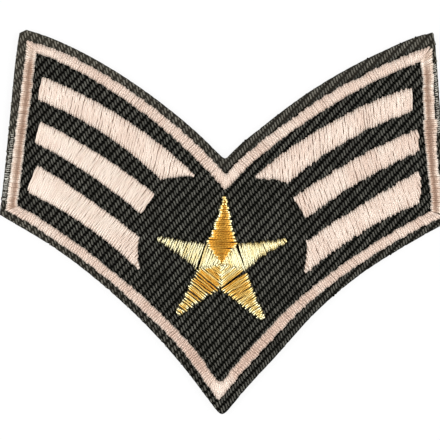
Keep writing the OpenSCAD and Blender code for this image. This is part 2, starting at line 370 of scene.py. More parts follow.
def node_group(name, inputs, outputs):
    """An empty shader node group with plain sockets."""
    group = bpy.data.node_groups.new(name, "ShaderNodeTree")
    for socket, kind, value in inputs:
        made = group.interface.new_socket(socket, in_out="INPUT", socket_type=kind)
        made.default_value = value
    for socket, kind in outputs:
        group.interface.new_socket(socket, in_out="OUTPUT", socket_type=kind)
    return group, group.nodes.new("NodeGroupInput"), group.nodes.new("NodeGroupOutput")


def worked(tree, operation, first, second):
    """A math node whose two inputs are linked or given."""
    node = tree.nodes.new("ShaderNodeMath")
    node.operation = operation
    for socket, value in enumerate((first, second)):
        if isinstance(value, (int, float)):
            node.inputs[socket].default_value = value
        else:
            tree.links.new(value, node.inputs[socket])
    return node.outputs[0]


def tinted(tree, share, first, second, blend="MIX"):
    """Two colours mixed, added or multiplied by a share, each of them linked or given."""
    mix = tree.nodes.new("ShaderNodeMix")
    mix.data_type = "RGBA"
    mix.blend_type = blend
    for socket, value in ((0, share), (6, first), (7, second)):
        if isinstance(value, (int, tuple)):
            mix.inputs[socket].default_value = value
        else:
            tree.links.new(value, mix.inputs[socket])
    return mix.outputs[2]


# Yarns vary a little in shade. Their crests are painted lighter and their ends darker, as
# painted sheen and painted shade, and a grey haze is added over all of them.
NOISE_SPAN = (0.12, 0.36)
CLOUDY_SHARES = (0.35, 0.85)
FLOAT_SHADED_END_SPAN = (0.7, 1.0)
TONE_SHARES = (0.75, 1.25)
FUZZ_ROUGHNESS = 0.12

nap, nap_in, nap_out = node_group(
    "yarn_shade",
    [
        ("Dark", "NodeSocketColor", (0.02, 0.02, 0.018, 1)),
        ("Light", "NodeSocketColor", (0.05, 0.05, 0.044, 1)),
        ("Haze", "NodeSocketColor", (0.110, 0.097, 0.075, 1)),
        ("Patch Size", "NodeSocketFloat", 300.0),
        ("Yarn Size", "NodeSocketFloat", 1500.0),
    ],
    [("Color", "NodeSocketColor"), ("Fuzz", "NodeSocketFloat")],
)
grain = nap.nodes.new("ShaderNodeAttribute")
grain.attribute_name = "grain"
grain_parts = nap.nodes.new("ShaderNodeSeparateXYZ")
nap.links.new(grain.outputs["Vector"], grain_parts.inputs["Vector"])
place = nap.nodes.new("ShaderNodeTexCoord")
patches = nap.nodes.new("ShaderNodeTexNoise")
yarns = nap.nodes.new("ShaderNodeTexNoise")
for texture, size in ((patches, "Patch Size"), (yarns, "Yarn Size")):
    nap.links.new(place.outputs["Object"], texture.inputs["Vector"])
    nap.links.new(nap_in.outputs[size], texture.inputs["Scale"])
cloudy = worked(nap, "MULTIPLY", patches.outputs["Fac"], yarns.outputs["Fac"])
cloudy = ranged(nap, cloudy, NOISE_SPAN, CLOUDY_SHARES)
# Painted sheen on the crest of each float, and painted shade towards its ends.
crest_sheen = ranged(nap, grain_parts.outputs["X"], FLOAT_SHADED_END_SPAN, (1, 0))
fibre_tone = ranged(nap, grain_parts.outputs["Y"], (0, 1), TONE_SHARES)
share = worked(nap, "MULTIPLY", cloudy, crest_sheen)
share = worked(nap, "MULTIPLY", share, fibre_tone)
fibre = tinted(nap, share, nap_in.outputs["Dark"], nap_in.outputs["Light"])
fibre = tinted(nap, grain_parts.outputs["Z"], fibre, nap_in.outputs["Haze"], "ADD")
nap.links.new(fibre, nap_out.inputs["Color"])
nap.links.new(share, nap_out.inputs["Fuzz"])


def yarn_material(name, dark, light, roughness, specular):
    """Yarn between two shades, rougher where it is light and fuzzy."""
    material, tree, shader = new_material(name, {"Specular IOR Level": specular})
    yarn = tree.nodes.new("ShaderNodeGroup")
    yarn.node_tree = nap
    yarn.inputs["Dark"].default_value = (*dark, 1)
    yarn.inputs["Light"].default_value = (*light, 1)
    tree.links.new(yarn.outputs["Color"], shader.inputs["Base Color"])
    rough = ranged(tree, yarn.outputs["Fuzz"], (0, 1), (roughness, roughness + FUZZ_ROUGHNESS))
    tree.links.new(rough, shader.inputs["Roughness"])
    return material


cloth_grey = yarn_material(
    "twill_depth", dark=(0.002, 0.002, 0.001), light=(0.009, 0.009, 0.007),
    roughness=0.8, specular=0.05)
twill_cloth.data.materials.append(cloth_grey)

# The face of the twill: each warp yarn floats over two weft yarns and dips under the third, one
# weft further up than its neighbour, which gives the slanting ribs. The yarns are thick and soft.
WARP_STEP = np.array([-0.4318, 1.6148])
RIB_STEP = np.array([0.4341, 0.4853])
FLOAT_HALF = 0.62
FLOAT_WIDTH = 0.19
FLOAT_RISE = 0.26
FLOAT_SHIFTS = (0.02, 0.03)
FLOAT_TURN = 0.05
FLOAT_LENGTHS = (0.94, 1.04)
FLOAT_WIDTHS = (0.88, 1.08)
FLOAT_RISES = (0.85, 1.05)
GRAIN_SUNK = 0.04
GRAIN_WAIST = 0.25
GRAIN_END_BULGE = 0.03
EDGE_KEPT = 0.05
LATTICE_RIBS = 160
LATTICE_STEPS = 90
AXIS_SAMPLES = 9
AXIS_LEAST = 3
WARP_GRID = ((-1, -0.75, 0, 0.75, 1), (-1, -0.6, 0, 0.6, 1))
POINTS_AT_ONCE = 4000


def depth_inside(points):
    """Distance of each point from the cut line, negative outside it."""
    starts = cut_line
    spans = np.roll(cut_line, -1, 0) - starts
    squares = (spans**2).sum(1)
    nearest = np.zeros(len(points))
    crossings = np.zeros(len(points), int)
    for first in range(0, len(points), POINTS_AT_ONCE):
        part = slice(first, first + POINTS_AT_ONCE)
        block = points[part]
        gap = block[:, None, :] - starts[None]
        share = np.clip((gap * spans[None]).sum(2) / squares[None], 0, 1)
        far = np.linalg.norm(gap - share[..., None] * spans[None], axis=2)
        nearest[part] = far.min(1)
        over = (starts[None, :, 1] > block[:, None, 1]) != (
            (starts + spans)[None, :, 1] > block[:, None, 1]
        )
        with np.errstate(divide="ignore", invalid="ignore"):
            at = starts[None, :, 0] + spans[None, :, 0] * gap[..., 1] / spans[None, :, 1]
        crossings[part] = (over & (block[:, None, 0] < at)).sum(1)
    return np.where(crossings % 2 == 1, nearest, -nearest)


def lattice():
    """The middle of every warp float near the cloth."""
    found = []
    for rib in range(-LATTICE_RIBS, LATTICE_RIBS + 1):
        for k in range(-LATTICE_STEPS, LATTICE_STEPS + 1):
            middle = rib * RIB_STEP + k * WARP_STEP
            if abs(middle[0]) < SIDE_REACH + 1 and abs(middle[1]) < 1 - TIP_HEIGHT:
                found.append(middle)
    return np.array(found)


def grid_faces(first, rows, columns):
    """Faces over points that lie in a grid, row after row."""
    return [
        (at, at + columns, at + columns + 1, at + 1)
        for r in range(rows - 1)
        for at in range(first + r * columns, first + (r + 1) * columns - 1)
    ]


def triangles_of(corners):
    """The triangles that fill a flat outline, all of them from its first corner."""
    return [(corners[0], corners[k], corners[k + 1]) for k in range(1, len(corners) - 1)]


def underside(first, rows, columns):
    """Faces that close a grid of points from below, on the points of its rim alone."""
    rims = [(first + r * columns, first + (r + 1) * columns - 1) for r in range(rows)]
    first_row = range(first, first + columns)
    last_row = range(rims[-1][0], rims[-1][1] + 1)
    faces = triangles_of([*first_row, rims[1][1], rims[1][0]])
    faces += [(*rims[r], rims[r + 1][1], rims[r + 1][0]) for r in range(1, rows - 2)]
    faces += triangles_of([last_row[0], *rims[-2], *reversed(last_row[1:])])
    return faces


def add_grain(grains, centre, along, size, base, grid, tone, haze_amount, shaded_ends=True):
    """Adds a rounded grain (half length, half width, rise) that is sunk into its base at the rim.
    Its marks darken both ends of a grain with shaded ends, as painted shade."""
    points, faces, marks = grains
    half, width, rise = size
    stations, ribs = grid
    across = np.array([-along[1], along[0]])
    faces += grid_faces(len(points), len(stations), len(ribs))
    faces += underside(len(points), len(stations), len(ribs))
    for t in stations:
        at_end = abs(t) == 1
        waist = width * (1 - GRAIN_WAIST * t**4)
        crown = 0.0 if at_end else rise * (1 - t**4) + GRAIN_SUNK
        bulge = GRAIN_END_BULGE * t if at_end else 0
        for v in ribs:
            spot = centre + along * (half * t + bulge * (1 - v * v)) + across * (waist * v)
            z = base - GRAIN_SUNK + crown * math.sqrt(1 - v * v)
            points.append((spot[0], spot[1], z))
            marks.append((abs(t) if shaded_ends else 0, tone, haze_amount))


def grain_piece(name, grains, dark, light, roughness, specular):
    """A piece of many grains of one yarn, with its material and its map seen from above."""
    points, faces, marks = grains
    piece = new_piece(name, points, faces)
    grain_marks(piece, marks)
    piece.data.materials.append(yarn_material(name, dark, light, roughness, specular))
    layer = piece.data.uv_layers.new(name="OFBake")
    corners = np.zeros(len(piece.data.loops), int)
    piece.data.loops.foreach_get("vertex_index", corners)
    places = np.array([v.co[:2] for v in piece.data.vertices])
    low = places.min(0)
    size = np.ptp(places, axis=0).max()
    layer.uv.foreach_set("vector", ((places[corners] - low) / size).astype(np.float32).ravel())
    return piece


draw = random.Random(11)
warp_way = WARP_STEP / np.linalg.norm(WARP_STEP)
warp_side = np.array([warp_way[1], -warp_way[0]])
middles = lattice()
samples = np.linspace(-1, 1, AXIS_SAMPLES)
axes = middles[:, None, :] + samples[None, :, None] * warp_way * FLOAT_HALF
depths = depth_inside(axes.reshape(-1, 2)).reshape(len(middles), -1)
warp_grains = ([], [], [])
for middle, inside, depth in zip(middles, depths > EDGE_KEPT, depths.max(1)):
    if inside.sum() < AXIS_LEAST:
        continue
    low, high = samples[inside].min(), samples[inside].max()
    centre = middle + warp_way * FLOAT_HALF * (low + high) / 2
    centre = centre + warp_side * draw.gauss(0, FLOAT_SHIFTS[0])
    centre = centre + warp_way * draw.gauss(0, FLOAT_SHIFTS[1])
    turn = draw.gauss(0, FLOAT_TURN)
    size = (
        FLOAT_HALF * (high - low) / 2 * draw.uniform(*FLOAT_LENGTHS),
        FLOAT_WIDTH * draw.uniform(*FLOAT_WIDTHS),
        FLOAT_RISE * draw.uniform(*FLOAT_RISES),
    )
    add_grain(
        warp_grains, centre, warp_way * math.cos(turn) + warp_side * math.sin(turn), size,
        CLOTH_FACE, WARP_GRID, draw.random(), float(haze_at(*middle, depth)))
# The light shade on the floats' crests is painted sheen on the dark yarn; the dark shade at their ends
# is painted shade.
twill_warp = grain_piece(
    "twill_warp", warp_grains, dark=(0.003, 0.003, 0.002), light=(0.146, 0.143, 0.121),
    roughness=0.55, specular=0.15)

# Where a warp yarn dips, the weft yarn that crosses over it shows as a small slanting grain. It is
# polyester too; it lies low between the floats, and its black colour is painted shadow.
DIP_WAY = np.array([-0.707, 0.707])
DIP_SIZE = (0.39, 0.21, 0.06)
SMALL_GRID = ((-1, -0.5, 0.5, 1), (-1, 0, 1))

dips = middles + WARP_STEP / 2
weft_grains = ([], [], [])
for middle, depth in zip(dips, depth_inside(dips)):
    if depth >= EDGE_KEPT + DIP_SIZE[1]:
        haze_amount = float(haze_at(*middle, depth)) * HAZE_IN_GROOVES
        add_grain(weft_grains, middle, DIP_WAY, DIP_SIZE, CLOTH_FACE, SMALL_GRID, PLAIN_TONE, haze_amount)
twill_weft = grain_piece(
    "twill_weft", weft_grains, dark=(0.001, 0.001, 0.001), light=(0.001, 0.001, 0.001),
    roughness=1.0, specular=0.0)

# The border is a column of satin stitch in cream polyester thread, worked over a padding of the
# same thread. The needle lays each thread straight across and takes it down at both edges.
STITCH_TURN = math.radians(-0.9)
RUN_SHIFT = -0.05
LOWER_SHIFT = -0.5
RUN_NOTCH_HEIGHT = 9.5
RUN_WING_TOP = 35.8
RUN_TOP_RADIUS = 103.0
TOP_WIDTH = 1.95
SIDE_MARGIN = 1.1
SIDE_WIDTH = 2.25
RUN_LEAN = SIDE_LEAN + 0.5
RUN_TIP_HEIGHT = -35.7
RUN_WING_BOTTOM = -0.1
RUN_BOTTOM_RADIUS = 119.5
BOTTOM_WIDTH = 1.73
STITCH_BASE = 1.3
STITCH_EDGE = 0.2
STITCH_CROWN = 0.7
THREAD_SECTION = [
    # across, up, in half widths and thicknesses
    (-0.7, -0.8),
    (-1.0, -0.15),
    (-0.88, 0.45),
    (-0.52, 0.85),
    (0.0, 1.0),
    (0.52, 0.85),
    (0.88, 0.45),
    (1.0, -0.15),
    (0.7, -0.8),
]
THREAD_WAVES = [
    # size as a share of the wander, and length in millimetres, each between two limits
    (0.5, 1.1, 2.4, 5.0),
    (0.3, 0.7, 1.2, 2.2),
]
CROWN_STRAY = 0.02
LIFT_STRAY = 0.04
WIDTH_STRAY = 0.1
STEPS_AT_LEAST = 8
STEP_LENGTH = 0.7
DOME_POWER = 2.2
DRIFT_POWER = 6
TAPER = 0.5
TAPER_POWER = 8
PADDING_PROFILE = (-0.94, -0.8, -0.5, 0, 0.5, 0.8, 0.94)
PADDING_LOW = 1.5
PADDING_MARK = (0, 0.5, 0.5)
# On the bake's map the threads fill the strips below, the two faces of the padding lie in thin
# strips above them, and the cut ends of the threads share the upper right corner.
MAP_THREADS = 0.86
MAP_GAP = 0.02
MAP_PADDING = (0.87, 0.03)
MAP_MIRROR = 1.81
MAP_CAP = (0.95, 0.04)


def placed(points, wing, shift, turn=STITCH_TURN):
    """Points drawn for the right wing, set into the cloth with a shift and a turn."""
    points = np.asarray(points, float)
    x = points[..., 0] * wing
    y = points[..., 1]
    c, s = math.cos(turn), math.sin(turn)
    return np.stack([x * c - y * s + shift, x * s + y * c], -1)


def crown_of(width):
    return min(STITCH_CROWN - STITCH_EDGE, width / 3)


def dome_at(t):
    """The height of the stitching across a column, from 0 at its edges (-1, 1) to 1 between."""
    return math.sqrt(max(0.0, 1 - abs(t) ** DOME_POWER))


def thread_tubes(stitches, draw, half_width, half_thick, wander, tones, shade_at):
    """One thread for each stitch (start, end): points, faces, what its material reads, its map."""
    full_turn = 2 * math.pi
    ring = len(THREAD_SECTION)
    longest = max(np.linalg.norm(end - start) for start, end in stitches)
    cap_middle, cap_size = MAP_CAP
    cap = [
        (cap_middle + cap_size * math.cos(angle), cap_middle + cap_size * math.sin(angle))
        for angle in np.arange(ring) * full_turn / ring
    ]
    points = []
    faces = []
    marks = []
    maps = []
    for number, (start, end) in enumerate(stitches):
        share = number / max(1, len(stitches) - 1)
        span = end - start
        length = np.linalg.norm(span)
        along = span / length
        across = np.array([-along[1], along[0]])
        crown = crown_of(length) + draw.gauss(0, CROWN_STRAY)
        lift = draw.uniform(-LIFT_STRAY, LIFT_STRAY)
        bends = [
            (wander * draw.uniform(small, large), draw.uniform(short, long), draw.uniform(0, full_turn))
            for small, large, short, long in THREAD_WAVES
        ]
        tone = draw.uniform(-tones, tones)
        wide = half_width * draw.uniform(1 - WIDTH_STRAY, 1 + WIDTH_STRAY)
        first = len(points)
        steps = STEPS_AT_LEAST + round(length / STEP_LENGTH)
        stations = [-math.cos(math.pi * k / steps) for k in range(steps + 1)]
        for t in stations:
            z = STITCH_BASE + (STITCH_EDGE + crown + lift) * dome_at(t) - half_thick
            if abs(t) == 1:
                z = CLOTH_FACE
            spot = start + span * (t + 1) / 2
            along_it = (t + 1) / 2 * length
            drift = sum(
                size * math.sin(full_turn * along_it / wave + phase) for size, wave, phase in bends
            )
            spot = spot + across * (drift * (1 - t**DRIFT_POWER))
            narrow = 1 - TAPER * abs(t) ** TAPER_POWER
            shade = shade_at(share, along_it, length) + tone
            for k, (v, up) in enumerate(THREAD_SECTION):
                side = spot + across * (v * wide * narrow)
                points.append((side[0], side[1], z + up * half_thick))
                marks.append((along_it, k / (ring - 1), shade))
        faces += closed_rings(first, steps + 1, ring)
        strip = MAP_THREADS / len(stitches)
        u = [(t + 1) / 2 * length / longest for t in stations]
        v = [(number + MAP_GAP + (1 - 2 * MAP_GAP) * k / ring) * strip for k in range(ring + 1)]
        for r in range(steps):
            for k in range(ring):
                maps += [(u[r], v[k]), (u[r + 1], v[k]), (u[r + 1], v[k + 1]), (u[r], v[k + 1])]
        maps += cap + cap
    return points, faces, marks, maps


def padding(stitches, low_by, first):
    """The hidden padding under the threads: a low dome from the first stitch to the last."""
    rows, columns = len(stitches), len(PADDING_PROFILE)
    points = []
    places = []
    for r, (start, end) in enumerate(stitches):
        crown = crown_of(np.linalg.norm(end - start))
        for c, t in enumerate(PADDING_PROFILE):
            spot = start + (end - start) * (t + 1) / 2
            z = STITCH_BASE + (STITCH_EDGE + crown) * dome_at(t) - low_by
            points.append((spot[0], spot[1], z))
            places.append((r / rows, MAP_PADDING[0] + MAP_PADDING[1] * c / columns))
    count = rows * columns
    points += [(x, y, CLOTH_FACE) for x, y, _ in points]
    places += [(u, MAP_MIRROR - v) for u, v in places]
    faces = grid_faces(0, rows, columns)
    faces += [tuple(k + count for k in reversed(face)) for face in faces]
    rim = list(range(columns))
    rim += [r * columns + columns - 1 for r in range(1, rows)]
    rim += [(rows - 1) * columns + c for c in range(columns - 2, -1, -1)]
    rim += [r * columns for r in range(rows - 2, 0, -1)]
    for k, here in enumerate(rim):
        beside = rim[(k + 1) % len(rim)]
        faces.append((here, beside, beside + count, here + count))
    run = sum(stitches[-1]) - sum(stitches[0])
    over = stitches[0][1] - stitches[0][0]
    if run[0] * over[1] < run[1] * over[0]:
        faces = [tuple(reversed(face)) for face in faces]
    maps = [places[k] for face in faces for k in face]
    return points, [tuple(k + first for k in face) for face in faces], maps


all_stitches = []


def satin(name, node, beds, material, pad_material, seed, shade_at, half_width,
          half_thick=0.2, wander=0.05, tones=0.12):
    """Satin stitch that stands for one node: threads over one or more beds of padding."""
    draw = random.Random(seed)
    stitches = [stitch for bed in beds for stitch in bed]
    all_stitches.extend(stitches)
    points, faces, marks, maps = thread_tubes(
        stitches, draw, half_width, half_thick, wander, tones, shade_at)
    thread_faces = len(faces)
    for bed in beds:
        pad_points, pad_faces, pad_maps = padding(bed, half_thick * PADDING_LOW, len(points))
        points += pad_points
        faces += pad_faces
        marks += [PADDING_MARK] * len(pad_points)
        maps += pad_maps
    piece = new_piece(name, points, faces)
    layer = piece.data.attributes.new("thread", "FLOAT_VECTOR", "POINT")
    layer.data.foreach_set("vector", np.array(marks, np.float32).ravel())
    layer = piece.data.uv_layers.new(name="OFBake")
    layer.uv.foreach_set("vector", np.array(maps, np.float32).ravel())
    piece.data.materials.append(material)
    piece.data.materials.append(pad_material)
    slots = [0] * thread_faces + [1] * (len(faces) - thread_faces)
    piece.data.polygons.foreach_set("material_index", slots)
    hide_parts(node)
    return piece


def powered(tree, colour, power):
    """A linked colour raised to a linked power."""
    node = tree.nodes.new("ShaderNodeGamma")
    tree.links.new(colour, node.inputs["Color"])
    tree.links.new(power, node.inputs["Gamma"])
    return node.outputs["Color"]


# Thread: two plies twisted together, each of fine bright filaments, so the shade changes a little
# from one stitch to the next. The sides of each thread darken to a groove colour, painted shade
# between the threads. The two shades mix by multiplying, so that the shades between them stay rich.
CLOUD_SPAN = (0.3, 0.7)
CLOUD_TONES = (-0.2, 0.2)
GROOVE_SHADE_SPAN = (0.16, 0.42)
PLY_DEPTH = 0.02 * MM

ply, ply_in, ply_out = node_group(
    "thread_ply",
    [
        ("Light", "NodeSocketColor", (0.8, 0.65, 0.55, 1)),
        ("Dark", "NodeSocketColor", (0.6, 0.42, 0.33, 1)),
        ("Groove Shade", "NodeSocketColor", (0.3, 0.2, 0.15, 1)),
        ("Twist", "NodeSocketFloat", 0.45),
        ("Patch Size", "NodeSocketFloat", 220.0),
    ],
    [("Color", "NodeSocketColor"), ("Height", "NodeSocketFloat")],
)
mark = ply.nodes.new("ShaderNodeAttribute")
mark.attribute_name = "thread"
parts = ply.nodes.new("ShaderNodeSeparateXYZ")
ply.links.new(mark.outputs["Vector"], parts.inputs["Vector"])
turns = worked(ply, "DIVIDE", parts.outputs["X"], ply_in.outputs["Twist"])
slant = worked(ply, "ADD", turns, parts.outputs["Y"])
strand = worked(ply, "MULTIPLY", slant, 2 * math.pi)
strand = worked(ply, "SINE", strand, 0)
ply.links.new(strand, ply_out.inputs["Height"])
cloud_place = ply.nodes.new("ShaderNodeTexCoord")
clouds = ply.nodes.new("ShaderNodeTexNoise")
ply.links.new(cloud_place.outputs["Object"], clouds.inputs["Vector"])
ply.links.new(ply_in.outputs["Patch Size"], clouds.inputs["Scale"])
cloudy = ranged(ply, clouds.outputs["Fac"], CLOUD_SPAN, CLOUD_TONES)
tone = worked(ply, "ADD", parts.outputs["Z"], cloudy)
tone = ranged(ply, tone, (0, 1), (0, 1))
paler = powered(ply, ply_in.outputs["Light"], worked(ply, "SUBTRACT", 1, tone))
deeper = powered(ply, ply_in.outputs["Dark"], tone)
tint = tinted(ply, 1, paler, deeper, "MULTIPLY")
off_top = worked(ply, "SUBTRACT", parts.outputs["Y"], 0.5)
off_top = worked(ply, "ABSOLUTE", off_top, 0)
# The sides of the thread, away from its top, take painted shade.
groove_shadow = ranged(ply, off_top, GROOVE_SHADE_SPAN, (0, 1))
tint = tinted(ply, groove_shadow, tint, ply_in.outputs["Groove Shade"])
ply.links.new(tint, ply_out.inputs["Color"])


def thread_material(name, light, dark, groove_shade, twist=0.45, bump=0.4, roughness=0.36, metallic=0.3,
                    specular=0.5):
    """Twisted thread between two shades, which darkens to a third on its sides as painted shade between
    the threads.
    """
    material, tree, shader = new_material(
        name, {"Roughness": roughness, "Metallic": metallic, "Specular IOR Level": specular})
    thread = tree.nodes.new("ShaderNodeGroup")
    thread.node_tree = ply
    for socket, colour in (("Light", light), ("Dark", dark), ("Groove Shade", groove_shade)):
        thread.inputs[socket].default_value = (*colour, 1)
    thread.inputs["Twist"].default_value = twist
    tree.links.new(thread.outputs["Color"], shader.inputs["Base Color"])
    relief = tree.nodes.new("ShaderNodeBump")
    relief.inputs["Strength"].default_value = bump
    relief.inputs["Distance"].default_value = PLY_DEPTH
    tree.links.new(thread.outputs["Height"], relief.inputs["Height"])
    tree.links.new(relief.outputs["Normal"], shader.inputs["Normal"])
    return material


# Cream and tan are the one cream thread lit and in shade. The tan in the middle of a thread is painted
# shade, set by how the thread runs to the softboxes, and paler thread ends are painted highlight.
CREAM = (0.84, 0.71, 0.61)
SHADED_TAN = (0.62, 0.44, 0.35)
GROOVE_SHADE_TAN = (0.61, 0.48, 0.40)
cream_thread = thread_material("cream_thread", CREAM, SHADED_TAN, GROOVE_SHADE_TAN)
# The side runs' threads lie across the softboxes' light: this darker, pinker copy of the cream thread
# is painted shade.
shaded_side_thread = thread_material(
    "shaded_side_thread", light=(0.94, 0.84, 0.74), dark=(0.41, 0.26, 0.185), groove_shade=(0.43, 0.30, 0.22))
# The padding is the same cream thread; its darker colour is painted shade, as it shows only in the gaps
# between the threads.
shaded_cream_padding = thread_material(
    "shaded_cream_padding", light=(0.66, 0.51, 0.41), dark=(0.56, 0.42, 0.33), groove_shade=GROOVE_SHADE_TAN,
    roughness=0.6, metallic=0.0, specular=0.3)

RUN_TOP_OUTER = curve(RUN_NOTCH_HEIGHT, RUN_WING_TOP, RUN_TOP_RADIUS)
RUN_TOP_INNER = grown(RUN_TOP_OUTER, -TOP_WIDTH)
RUN_SIDE_OUTER = (SIDE_REACH - SIDE_MARGIN, RUN_LEAN)
RUN_SIDE_INNER = (RUN_SIDE_OUTER[0] - SIDE_WIDTH, RUN_LEAN)
RUN_BOTTOM_OUTER = curve(RUN_TIP_HEIGHT, RUN_WING_BOTTOM, RUN_BOTTOM_RADIUS)
RUN_BOTTOM_INNER = grown(RUN_BOTTOM_OUTER, BOTTOM_WIDTH)
OUTER_BLUNT = 0.3
INNER_BLUNT = 0.6
BORDER_SPACING = 0.51
SIDE_SPACING = 0.42
RUN_FAN = 0.13
SIDE_FAN = 0.12
END_OVER = 0.12
RUN_OVERLAP = 0.2
RUN_STRAYS = {
    # share of the way along the run, shift of its outer edge and of its inner edge outwards
    ("top", LEFT): [(0, -0.08, -0.14), (0.70, -0.10, -0.10), (0.86, -0.02, -0.10), (1, -0.85, -0.20)],
    ("top", RIGHT): [
        (0, -0.30, -0.20), (0.10, 0, -0.05), (0.30, -0.08, -0.12), (0.40, -0.25, -0.25),
        (0.50, -0.05, -0.30), (0.65, 0, -0.25), (0.72, -0.12, -0.12), (0.80, 0.12, -0.08),
        (1, 0.20, 0.10),
    ],
    ("side", LEFT): [(0, 0, 0.16), (0.4, -0.06, 0.14), (0.7, -0.16, 0.10), (1, -0.16, 0.10)],
    ("bottom", LEFT): [
        (0, 0.30, 0.30), (0.08, 0.20, 0), (0.17, -0.20, -0.42), (0.25, -0.18, -0.30),
        (0.32, -0.08, -0.26), (0.40, 0.12, -0.04), (0.50, 0.02, -0.10), (0.55, 0.04, 0.12),
        (0.65, 0.06, 0), (0.85, -0.05, -0.10), (0.92, -0.18, -0.30), (1, -0.20, -0.20),
    ],
    ("bottom", RIGHT): [
        (0, -0.10, 0.30), (0.10, 0.10, 0), (0.24, 0.32, 0.10), (0.38, 0.10, -0.12),
        (0.50, -0.08, -0.10), (0.64, 0.10, 0.10), (0.80, 0.28, 0.20), (1, 0.45, 0.25),
    ],
    ("side", RIGHT): [
        (0, 0, 0.10), (0.10, 0, 0.34), (0.19, 0, 0.12), (0.28, -0.20, -0.05),
        (0.37, -0.30, 0), (0.47, -0.20, -0.15), (0.55, 0.20, -0.30), (0.575, 0.35, -0.30),
        (0.595, -0.35, 0), (0.70, -0.12, 0), (0.77, -0.10, 0.04), (0.83, 0.05, 0.27), (1, 0.10, 0),
    ],
}
SAGGED_CORNER = (0.85, 0.20)
SIDE_LIT_INSIDE = 0.25
SIDE_FADE_INSIDE = 0.3
SIDE_FADE_OUTSIDE = 1.35
SIDE_PAINTED_SHADE = [
    # share of the way up the run, how strong the painted shade (tan) on the threads is there
    (0, 0.70), (0.04, 1.0), (0.88, 0.95), (0.96, 0.40),
]
BOTTOM_PAINTED_SHADE = [
    # share of the way from the tip of the chevron outwards, how strong the painted shade (tan) on the
    # threads is there
    (0, 0.10), (0.05, 0.35), (0.12, 1.0), (0.35, 0.85), (0.60, 0.60), (0.85, 0.36),
]
BOTTOM_SHADE_AT_ENDS = 0.15
TOP_PAINTED_SHADE = (0.10, 0.37)
RUN_FADE = 0.5
NEEDLE_STRAY = 0.03
RUN_HALF_WIDTH = 0.283
SIDE_HALF_WIDTH = 0.262
RUN_UNEVEN = 0.15
SIDE_UNEVEN = 0.12
RUN_WANDER = 0.03
SIGHT_HEIGHTS = (20, 10)


def cored(at_ends, in_middle, lit, fade):
    """A shade for threads that have one value near their ends and fade to another inside."""

    def shade_at(share, place, length):
        inner = min(1.0, max(0.0, (min(place, length - place) - lit) / fade))
        return at_ends + (in_middle - at_ends) * inner * inner * (3 - 2 * inner)

    return shade_at


def spiky(edge_a, edge_b, draw, uneven, skew=0.0):
    """Stitches between two edges, each end a little off as the needle strays."""
    stitches = []
    for a, b in zip(edge_a, edge_b):
        along = (b - a) / np.linalg.norm(b - a)
        across = np.array([-along[1], along[0]])
        shift = draw.gauss(0, NEEDLE_STRAY)
        twist = draw.gauss(0, skew)
        start = a - along * (END_OVER + draw.uniform(-uneven, uneven)) + across * (shift - twist)
        end = b + along * (END_OVER + draw.uniform(-uneven, uneven)) + across * (shift + twist)
        stitches.append((start, end))
    return stitches


def fanned(low, high, count, fan):
    """Even places for two edges of a run. Each edge gives its own places where the run starts
    and ends. Threads lie straight across the run except near its slanting ends."""
    share = (np.arange(count) + 0.5) / count
    middle_low = sum(low) / 2
    middle_high = sum(high) / 2
    near_low = np.maximum(0, 1 - share / fan) ** 2
    near_high = np.maximum(0, 1 - (1 - share) / fan) ** 2
    return [
        middle_low + (middle_high - middle_low) * share
        + (a - middle_low) * near_low + (b - middle_high) * near_high
        for a, b in zip(low, high)
    ]


def strayed(name, wing, count):
    """The shift of the outer and the inner edge at each stitch of a run."""
    table = np.array(RUN_STRAYS[name, wing])
    share = (np.arange(count) + 0.5) / count
    return np.interp(share, table[:, 0], table[:, 1]), np.interp(share, table[:, 0], table[:, 2])


def angle_on(circle, x):
    return math.acos((x - circle[0]) / circle[2])


def curved_run(name, wing, outer, inner, x_outer, x_inner, spacing, outwards, blunts):
    """Both edges of a run between two circles, as points drawn for the right wing."""
    starts = (angle_on(outer, -RUN_OVERLAP), angle_on(inner, -RUN_OVERLAP))
    ends = (angle_on(outer, x_outer), angle_on(inner, x_inner))
    count = round((starts[0] - ends[0]) * outer[2] / spacing)
    angles = fanned(starts, ends, count, RUN_FAN)
    edges = []
    for circle, angle, blunt, stray in zip(
            (outer, inner), angles, blunts, strayed(name, wing, count)):
        x = circle[0] + circle[2] * np.cos(angle)
        y = height(circle, np.hypot(x, blunt))
        away = np.column_stack([np.cos(angle), np.sin(angle)]) * outwards
        edges.append(np.column_stack([x, y]) + away * stray[:, None])
    return edges


def low_corner(line, circle, wing):
    """Where a side run's line comes down on a bottom run."""
    high, low = [placed(side_point(line, y), wing, RUN_SHIFT) for y in SIGHT_HEIGHTS]
    along = (low - high) / np.linalg.norm(low - high)
    hub = placed(circle[:2], wing, LOWER_SHIFT, 0)
    offset = high - hub
    part = offset @ along
    return high + along * (-math.sqrt(part * part - offset @ offset + circle[2] ** 2) - part)


def side_thread_shade(share, place, length):
    """Painted shade, tan by the inner edge, and painted highlight, paler outwards and all along the
    thread by the corners.
    """
    deepest = np.interp(share, *zip(*SIDE_PAINTED_SHADE))
    inner = min((place - SIDE_LIT_INSIDE) / SIDE_FADE_INSIDE, (length - place) / SIDE_FADE_OUTSIDE)
    return deepest * min(1.0, max(0.0, inner))


def bottom_thread_shade(share, place, length):
    """Painted shade, tan in the middle of the threads, most of all near the tip of the chevron; the
    ends stay paler as painted highlight.
    """
    deepest = np.interp(share, *zip(*BOTTOM_PAINTED_SHADE))
    return cored(BOTTOM_SHADE_AT_ENDS, deepest, 0.0, RUN_FADE)(share, place, length)


